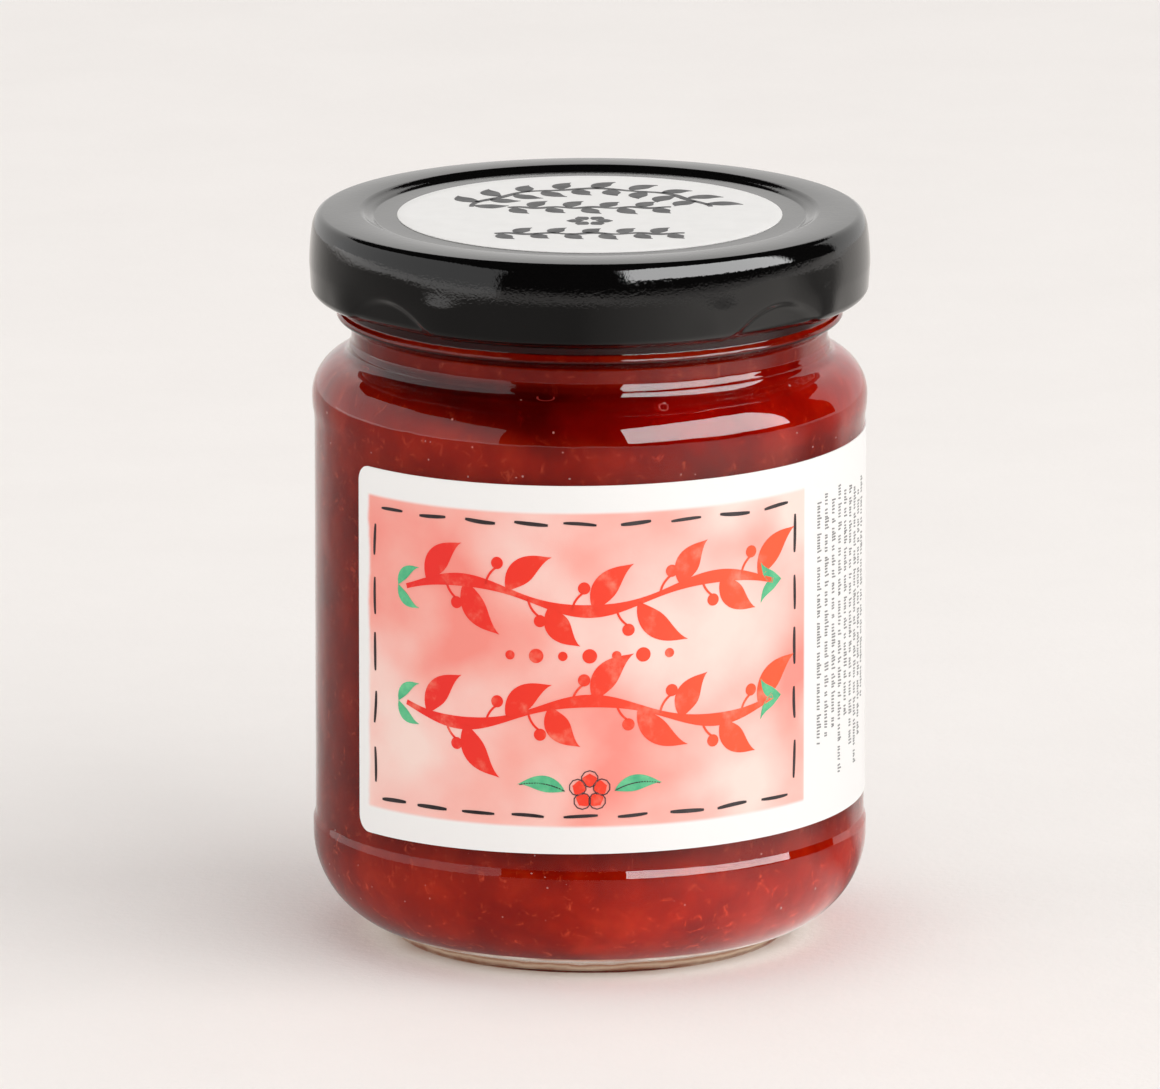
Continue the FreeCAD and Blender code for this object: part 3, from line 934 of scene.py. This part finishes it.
# ---- print ----
class Print:
    """Brush marks of one ink, each a thin closed strip that lies on its paper."""

    def __init__(self, place):
        self.place = place
        self.vertices = []
        self.faces = []

    def stroke(self, path, width):
        """A strip along path, a list of (u, v), as wide as width says for 0 to 1 along it."""
        first = len(self.vertices)
        last = len(path) - 1
        top, bottom = PAPER + INK_LIFT, PAPER - INK_LIFT
        for i, (u, v) in enumerate(path):
            u0, v0 = path[max(0, i - 1)]
            u1, v1 = path[min(last, i + 1)]
            length = math.hypot(u1 - u0, v1 - v0) or 1.0
            half = max(HAIRLINE, width(i / last) / 2)
            du, dv = -(v1 - v0) / length * half, (u1 - u0) / length * half
            for side, lift in ((1, top), (-1, top), (-1, bottom), (1, bottom)):
                self.vertices.append(self.place(u + du * side, v + dv * side, lift))
        for i in range(last):
            for k in range(4):
                a = first + 4 * i + k
                b = first + 4 * i + (k + 1) % 4
                self.faces.append((a, b, b + 4, a + 4))
        for end in (first, first + 4 * last):
            self.faces.append(tuple(range(end, end + 4)))

    def line(self, start, end, width, bow=0.0, steps=10):
        """A straight or bowed stroke from one point to another."""
        (u0, v0), (u1, v1) = start, end
        length = math.hypot(u1 - u0, v1 - v0)
        path = []
        for i in range(steps + 1):
            t = i / steps
            out = bow * length * 4 * t * (1 - t)
            path.append((u0 + (u1 - u0) * t - (v1 - v0) / length * out,
                         v0 + (v1 - v0) * t + (u1 - u0) / length * out))
        self.stroke(path, width)

    def dot(self, u, v, radius):
        path = [(u - radius * cos(180.0 * i / 12), v) for i in range(13)]
        self.stroke(path, lambda t: 2 * radius * math.sin(math.acos(abs(cos(180.0 * t)))))

    def piece(self, name, slot, material):
        add_mesh(name, self.vertices, self.faces, material, slot)


def around(u, v, radius, angle):
    """The point at radius and angle from (u, v)."""
    return u + radius * cos(angle), v + radius * sin(angle)


def leaf_width(widest, belly=0.42):
    """Pointed at both ends and fullest at belly."""
    def width(t):
        if t < belly:
            return widest * math.sin(math.pi / 2 * t / belly) ** 0.8
        return widest * math.cos(math.pi / 2 * (t - belly) / (1 - belly)) ** 1.3
    return width


def stitches():
    """The dashed border, drawn by hand: dashes of uneven length and slant."""
    draw = random.Random(5)
    border = Print(on_wrap)
    left = PANEL_RADIUS * math.radians(WASH_LEFT) + STITCH_INSET
    right = PANEL_RADIUS * math.radians(WASH_RIGHT) - STITCH_INSET - 0.4
    top = LABEL_HEIGHT / 2 - WASH_MARGIN - STITCH_INSET

    def run(low, high, count, place):
        pitch = (high - low) / count
        for i in range(count):
            length = pitch * draw.uniform(*STITCH_LENGTH)
            shift = draw.uniform(-STITCH_SHIFT, STITCH_SHIFT)
            start = low + pitch * (i + 0.5) - length / 2 + shift
            slant = draw.uniform(-STITCH_SLANT, STITCH_SLANT)
            wide = draw.uniform(*STITCH_WIDTH)
            border.line(place(start, -slant), place(start + length, slant),
                        lambda t: wide * (0.55 + 0.45 * math.sin(math.pi * t) ** 0.5),
                        draw.uniform(-STITCH_BOW, STITCH_BOW))

    for side in (-top, top):
        run(left, right, 9, lambda u, off, v=side: (u, v + off))
    for side in (left, right):
        run(-top + 0.6, top - 0.6, 5, lambda v, off, u=side: (u + off, v))
    border.piece("print_stitches", "label_paper",
                 ink_material("stitch_ink", (0.05, 0.035, 0.035), (0.015, 0.01, 0.012)))


def vine(ink, centre, side):
    """A waving stem with brush leaves on alternate sides, drawn from left to right."""
    def stem(t):
        u = -VINE_HALF + 2 * VINE_HALF * t
        return u, centre + VINE_WAVE * math.sin(2 * math.pi * 1.5 * t) * side

    path = [stem(i / 90) for i in range(91)]
    ink.stroke(path, lambda t: 0.6 + 0.9 * math.sin(3 * math.pi * t) ** 2)
    for i in range(VINE_LEAVES):
        u, v = stem((i + 0.6) / VINE_LEAVES)
        turn = 1 if i % 2 == 0 else -1
        lean = 52 + 10 * math.sin(i * 2.3)
        length = 7.4 + 0.9 * math.sin(i * 1.7)
        tip = (u + length * cos(lean), v + turn * length * sin(lean) * 0.86)
        ink.line((u, v), tip, leaf_width(2.9), 0.12 * turn, 18)
    return stem


def berries(ink, stem):
    """Berries on short stalks, each across the stem from a leaf."""
    for i in range(VINE_LEAVES - 1):
        u, v = stem((i + 1.1) / VINE_LEAVES)
        turn = -1 if i % 2 == 0 else 1
        ink.line((u, v), (u + 1.2, v + turn * 2.0), lambda t: 0.26, 0.1 * turn)
        ink.dot(u + 1.4, v + turn * 2.6, 0.72)


def blossom(red, green, dark, u, v):
    """A small open flower between two leaves, with a thin dark outline."""
    for k in range(5):
        angle = 90 + 72 * k
        red.line(around(u, v, 0.5, angle), around(u, v, 2.1, angle), leaf_width(1.7, 0.6), 0, 14)
        middle = around(u, v, 1.45, angle)
        dark.stroke([around(*middle, 0.98, angle + 36 * j - 180) for j in range(11)],
                    lambda t: 0.12)
    for side in (-1, 1):
        green.line((u + side * 2.9, v), (u + side * 8.4, v + 0.7), leaf_width(1.9), 0.1 * side, 18)
        dark.line((u + side * 2.9, v), (u + side * 8.2, v + 0.65), lambda t: 0.13, 0.1 * side, 18)


def ornaments():
    """Two mirrored vines with berries between them: the label's own generic design."""
    red = Print(on_wrap)
    green = Print(on_wrap)
    dark = Print(on_wrap)
    for centre, side in ((8.6, 1), (-5.2, -1)):
        berries(red, vine(red, centre, side))
        for end in (-1, 1):
            for up in (1, -1):
                green.line((end * 24.3, centre), (end * 21.2, centre + up * 2.4),
                           leaf_width(1.3), up * 0.15)
    for i in range(-3, 4):
        red.dot(i * 3.1, 1.7, 0.55 if i % 2 else 0.85)
    blossom(red, green, dark, 0.0, -14.3)
    red.piece("print_vines", "label_paper", brush_ink_material())
    green.piece("print_leaves", "label_paper",
                ink_material("green_ink", (0.16, 0.62, 0.30), (0.04, 0.42, 0.20)))
    dark.piece("print_outlines", "label_paper",
               ink_material("outline_ink", (0.06, 0.04, 0.05), (0.02, 0.01, 0.015)))


def small_print():
    """Rows that stand for fine print, turned on their side: ticks of no alphabet."""
    draw = random.Random(11)
    grey = Print(on_wrap)
    reach = LABEL_HEIGHT / 2 - 4.4
    start = PANEL_RADIUS * math.radians(WASH_RIGHT) + 2.6
    pitch, second_block, gap = 1.62, 26, 0.42
    rows = [start + pitch * i for i in range(9)]
    rows += [start + second_block + pitch * i for i in range(12)]
    for row in rows:
        v = reach - draw.uniform(0, 2.5)
        stop = -reach + draw.uniform(0, 9)
        while v > stop:
            for i in range(draw.randint(2, 9)):
                tall = draw.choice((0.5, 0.5, 0.55, 0.8))
                grey.line((row - 0.25, v), (row - 0.25 + tall, v - draw.uniform(-0.1, 0.1)),
                          lambda t: 0.17, 0.0, 1)
                v -= draw.uniform(0.3, 0.42)
                if v < stop:
                    break
            v -= gap
    grey.piece("print_small", "label_paper",
               ink_material("small_ink", (0.30, 0.30, 0.30), (0.22, 0.22, 0.22)))


def sprig(ink, place, leaves, long, wide):
    """A stem along the line place(share, height), with brush leaves on alternate sides."""
    ink.stroke([place(i / 90, 0.35 * math.sin(0.3 * i)) for i in range(91)],
               lambda t: 0.55 + 0.35 * math.sin(3 * math.pi * t) ** 2)
    for i in range(leaves):
        t = (i + 0.4) / leaves
        turn = 1 if i % 2 else -1
        reach = long * (1 + 0.1 * math.sin(2.3 * i))
        tip = place(min(1.0, t + 0.75 / leaves), turn * reach)
        ink.line(place(t, 0), tip, leaf_width(wide, 0.5), 0.14 * turn, 18)


def lid_print():
    """Dark grey brush work: a sprig in an arc over two straight ones, and a small blossom."""
    grey = Print(on_disc)

    def arc(t, height):
        turn = -74 + 148 * t
        radius = 14.4 + height
        return radius * sin(turn), radius * cos(turn)

    sprig(grey, arc, 18, 3.9, 2.2)
    sprig(grey, lambda t, height: (-9.5 + 19 * t, 3.4 + height), 9, 3.5, 2.1)
    sprig(grey, lambda t, height: (-11 + 22 * t, -11.8 + height), 11, 3.1, 2.0)
    for k in range(6):
        angle = 60 * k
        grey.line(around(0, -4.4, 0.7, angle), around(0, -4.4, 2.7, angle),
                  leaf_width(1.7, 0.6), 0, 14)
    grey.piece("print_lid", "lid_paper",
               ink_material("grey_ink", (0.15, 0.15, 0.15), (0.07, 0.07, 0.073)))


# ---- stage, lights and camera ----
def stage_mesh(name, vertices, faces, material):
    """A piece of the set, from vertices in metres."""
    mesh = bpy.data.meshes.new(name)
    mesh.from_pydata(vertices, [], faces)
    mesh.materials.append(material)
    piece = add_object(name, mesh)
    return piece


def off_camera(piece):
    """Hides a piece from the camera and from the surfaces that it would light."""
    piece.visible_camera = False
    piece.visible_diffuse = False
    piece.visible_shadow = False
    piece.visible_volume_scatter = False


def table_ring():
    """The table round the jar, which only mirrored rays see."""
    near, far, lift, steps = 0.0238, 0.9, 0.0004, 64
    vertices = []
    for i in range(steps):
        turn = 360.0 * i / steps
        for out in (near, far):
            vertices.append((out * sin(turn), -out * cos(turn), lift))
    faces = [(2 * i, 2 * i + 1, (2 * i + 3) % (2 * steps), (2 * i + 2) % (2 * steps))
             for i in range(steps)]
    table = stage_mesh("table", vertices, faces, table_material())
    off_camera(table)
    table.visible_transmission = False


def backdrop_card():
    """A curved card a metre behind the jar, for mirrored rays and those through glass."""
    middle, half_angle, low, high, steps = 176, 56, -0.02, 0.66, 24
    vertices = []
    for i in range(steps + 1):
        azimuth = middle - half_angle + 2 * half_angle * i / steps
        for height in (low, high):
            vertices.append((sin(azimuth), -cos(azimuth), height))
    faces = [(2 * i, 2 * i + 1, 2 * i + 3, 2 * i + 2) for i in range(steps)]
    off_camera(stage_mesh("backdrop", vertices, faces, backdrop_material()))


def build_stage():
    far = 4.0
    stage_mesh("floor", [(-far, -far, 0), (far, -far, 0), (far, far, 0), (-far, far, 0)],
               [(0, 1, 2, 3)], floor_material())
    table_ring()
    backdrop_card()


def window(name, seen, azimuth, distance, left, right, low, high, radiance, colour):
    """An upright rectangle of light, its edges as shares of its distance.

    seen is "diffuse" where it lights surfaces, and "glossy" where they mirror it.
    """
    width = (right - left) * distance
    height = (high - low) * distance
    light = bpy.data.lights.new(name, "AREA")
    light.shape = "RECTANGLE"
    light.size = width
    light.size_y = height
    light.energy = radiance * math.pi * width * height
    light.color = colour
    lamp = add_object(name, light)
    across = (left + right) / 2 * distance
    lamp.location = (distance * sin(azimuth) + across * cos(azimuth),
                     -distance * cos(azimuth) + across * sin(azimuth),
                     (low + high) / 2 * distance)
    lamp.rotation_euler = (math.radians(90), 0, math.radians(azimuth))
    lamp.visible_camera = False
    lamp.visible_transmission = False
    lamp.visible_diffuse = seen == "diffuse"
    lamp.visible_glossy = seen == "glossy"


def build_lights():
    """Each window is mirrored by one lamp and lights surfaces by another behind it."""
    white, warm = (1, 1, 1), (1.0, 0.985, 0.97)
    # name, seen, azimuth, distance, left, right, low, high, radiance, colour
    for lamp in (("window_right", "glossy", 57, 1.2, -0.9, 0.66, 0.2, 1.28, 9.0, white),
                 ("window_right_fill", "diffuse", 57, 1.3, -0.9, 0.9, 0.3, 1.5, 1.8, warm),
                 ("card_left", "glossy", -81, 1.0, -1.1, 0.95, 0.0, 0.93, 1.0, white),
                 ("card_left_fill", "diffuse", -81, 1.1, -1.1, 0.95, 0.0, 1.05, 0.5, warm)):
        window(*lamp)


def build_world():
    """The room: pale to the camera and through glass, almost black to mirrored rays."""
    world = bpy.data.worlds.new("room")
    bpy.context.scene.world = world
    world.use_nodes = True
    nodes = Nodes(world.node_tree)
    rays = nodes.node("LightPath").outputs
    colour = nodes.mix(rays["Is Glossy Ray"], (0.72, 0.71, 0.70), (0.008, 0.008, 0.008))
    colour = nodes.mix(rays["Is Transmission Ray"], colour, (0.85, 0.83, 0.81))
    colour = nodes.mix(rays["Is Camera Ray"], colour, (0.90, 0.87, 0.85))
    nodes.join(colour, nodes.tree.nodes["Background"].inputs["Color"])


def set_light_paths():
    """Lets light through the thick base of the glass, where it turns back many times."""
    cycles = bpy.context.scene.cycles
    cycles.max_bounces = 24
    cycles.glossy_bounces = 16
    cycles.transmission_bounces = 24


def build_camera():
    data = bpy.data.cameras.new("camera")
    data.lens = CAMERA_LENS
    data.sensor_width = 36.0
    data.shift_x = CAMERA_SHIFT
    data.clip_start = 0.1
    camera = add_object("camera", data)
    camera.location = (0, -CAMERA_DISTANCE * cos(CAMERA_ELEVATION) * MM,
                       (CAMERA_TARGET + CAMERA_DISTANCE * sin(CAMERA_ELEVATION)) * MM)
    camera.rotation_euler = (math.radians(90 - CAMERA_ELEVATION), 0, 0)
    bpy.context.scene.camera = camera


def main():
    glass_piece()
    jam_piece()
    foot_gleam()
    pips()
    bubbles()
    lid_piece()
    wrap_label()
    disc_label()
    stitches()
    ornaments()
    small_print()
    lid_print()
    build_stage()
    build_lights()
    build_world()
    build_camera()
    set_light_paths()
    bpy.context.scene.view_settings.view_transform = "Standard"


main()
